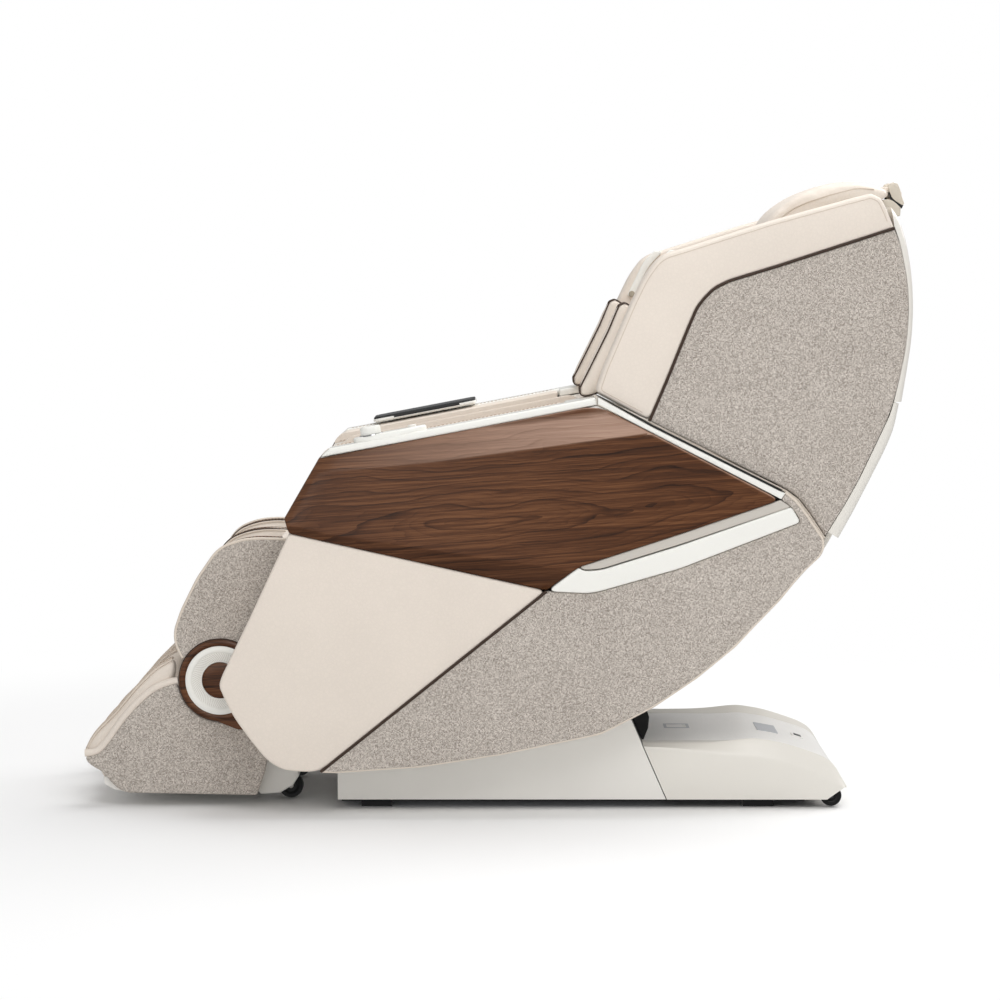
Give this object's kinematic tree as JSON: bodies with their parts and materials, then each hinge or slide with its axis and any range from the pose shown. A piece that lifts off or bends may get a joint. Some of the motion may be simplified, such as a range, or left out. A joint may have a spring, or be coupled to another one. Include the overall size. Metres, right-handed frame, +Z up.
{
  "type": "massage chair",
  "caption": "Reclining massage chair with side pods, winged backrest, headrest pillow, lifting leg rest, tilting foot rest and a sliding base on wheels.",
  "frame": {"origin": "on the floor, in the middle of the chair's length and width", "axes": "+X towards the backrest, +Y to the sitter's right, +Z up"},
  "size_m": [1.648, 0.78, 1.24],
  "materials": {
    "black_plastic": "gloss",
    "black_rubber": "moulded",
    "bright_steel": "ground",
    "cream_leather": "fine grain",
    "cream_plastic": "satin moulded",
    "frame_steel": "powder coat",
    "grey_plastic": "moulded",
    "shell_plastic": "fine texture",
    "silver_plate": "silver paint",
    "tweed_fabric": "mottled tweed weave",
    "walnut": "satin walnut",
    "white_trim": "satin moulded"
  },
  "bodies": {
    "base": {"base_frame": "frame_steel", "base_front_cover": "cream_plastic", "base_rear_cover": "cream_plastic", "base_top_plate": "silver_plate", "hose_boot": "black_rubber", "floor_pads": "black_rubber", "slide_rails": "bright_steel", "slide_screw": "bright_steel", "power_inlet": "black_plastic", "switch_bezel": "cream_plastic"},
    "power_switch": {"power_switch": "silver_plate"},
    "rear_wheel_left": {"rear_wheel_left": "black_rubber"},
    "rear_wheel_right": {"rear_wheel_right": "black_rubber"},
    "carriage": {"carriage_plate": "frame_steel", "slide_motor": "grey_plastic", "tilt_actuator": "grey_plastic"},
    "seat": {"seat_frame": "frame_steel", "seat_cushion": "cream_leather", "air_pump": "grey_plastic", "control_box": "grey_plastic", "arm_caps": "white_trim", "accent_strips": "white_trim", "control_console": "white_trim", "tablet_dock": "grey_plastic", "side_shell_left": "cream_plastic", "side_shell_right": "cream_plastic", "wood_panel_left": "walnut", "wood_panel_right": "walnut", "front_cover_left": "cream_leather", "front_cover_right": "cream_leather", "side_fabric_left": "tweed_fabric", "side_fabric_right": "tweed_fabric", "arm_pad_left": "cream_leather", "arm_pad_right": "cream_leather"},
    "control_knob": {"control_knob": "white_trim"},
    "control_button": {"control_button": "cream_plastic"},
    "tablet": {"tablet": "black_plastic"},
    "back": {"back_frame": "frame_steel", "back_upper_shell": "shell_plastic", "back_lower_shell": "shell_plastic", "back_cushion": "cream_leather", "pillow_bracket": "cream_plastic", "wing_leather_left": "cream_leather", "wing_leather_right": "cream_leather", "wing_fabric_left": "tweed_fabric", "wing_fabric_right": "tweed_fabric", "shoulder_pad_left": "cream_leather", "shoulder_pad_right": "cream_leather"},
    "pillow": {"headrest_pillow": "cream_leather"},
    "massage_unit": {"massage_unit": "grey_plastic", "massage_rollers": "black_rubber"},
    "leg_rest": {"leg_frame": "frame_steel", "calf_side_panels": "tweed_fabric", "calf_pads": "cream_leather", "pivot_rings": "walnut"},
    "foot_rest": {"foot_shell": "cream_plastic", "foot_side_panels": "tweed_fabric", "foot_pads": "cream_leather"},
    "front_wheel_left": {"front_wheel_left": "black_rubber"},
    "front_wheel_right": {"front_wheel_right": "black_rubber"}
  },
  "joints": [
    {"name": "rear_wheel_left_spin", "type": "hinge", "parent": "base", "child": "rear_wheel_left", "pos_m": [0.658, -0.234, 0.0235], "axis": [0, 1, 0], "continuous": true},
    {"name": "rear_wheel_right_spin", "type": "hinge", "parent": "base", "child": "rear_wheel_right", "pos_m": [0.658, 0.234, 0.0235], "axis": [0, 1, 0], "continuous": true},
    {"name": "power_switch_rock", "type": "hinge", "parent": "base", "child": "power_switch", "pos_m": [0.363, 0, 0.121], "axis": [0, 1, 0], "range_deg": [0, 16]},
    {"name": "carriage_slide", "type": "slide", "parent": "base", "child": "carriage", "axis": [-1, 0, 0], "range_m": [0, 0.11]},
    {"name": "seat_tilt", "type": "hinge", "parent": "carriage", "child": "seat", "pos_m": [0.1, 0, 0.272], "axis": [0, 1, 0], "range_deg": [0, 10]},
    {"name": "back_recline", "type": "hinge", "parent": "seat", "child": "back", "pos_m": [0.44, 0, 0.419], "axis": [0, 1, 0], "range_deg": [0, 45]},
    {"name": "massage_travel", "type": "slide", "parent": "back", "child": "massage_unit", "axis": [0.4067, 0, 0.9135], "range_m": [-0.15, 0.15]},
    {"name": "pillow_flip", "type": "hinge", "parent": "back", "child": "pillow", "pos_m": [0.802, 0, 1.218], "axis": [0, 1, 0], "range_deg": [0, 95]},
    {"name": "leg_lift", "type": "hinge", "parent": "seat", "child": "leg_rest", "pos_m": [-0.405, 0, 0.505], "axis": [0, 1, 0], "range_deg": [0, 80]},
    {"name": "foot_tilt", "type": "hinge", "parent": "leg_rest", "child": "foot_rest", "pos_m": [-0.554, 0, 0.256], "axis": [0, -1, 0], "range_deg": [0, 15]},
    {"name": "front_wheel_left_spin", "type": "hinge", "parent": "foot_rest", "child": "front_wheel_left", "pos_m": [-0.422, -0.132, 0.0271], "axis": [0, 1, 0], "continuous": true},
    {"name": "front_wheel_right_spin", "type": "hinge", "parent": "foot_rest", "child": "front_wheel_right", "pos_m": [-0.422, 0.132, 0.0271], "axis": [0, 1, 0], "continuous": true},
    {"name": "knob_turn", "type": "hinge", "parent": "seat", "child": "control_knob", "pos_m": [-0.248, -0.35, 0.73847], "axis": [-0.1876, 0, 0.9822], "continuous": true},
    {"name": "button_press", "type": "slide", "parent": "seat", "child": "control_button", "axis": [0.1876, 0, -0.9822], "range_m": [0, 0.002], "stiffness_N_per_m": 600, "springref_m": -0.001},
    {"name": "tablet_lift", "type": "slide", "parent": "seat", "child": "tablet", "axis": [-0.1876, 0, 0.9822], "range_m": [0, 0.1]}
  ]
}
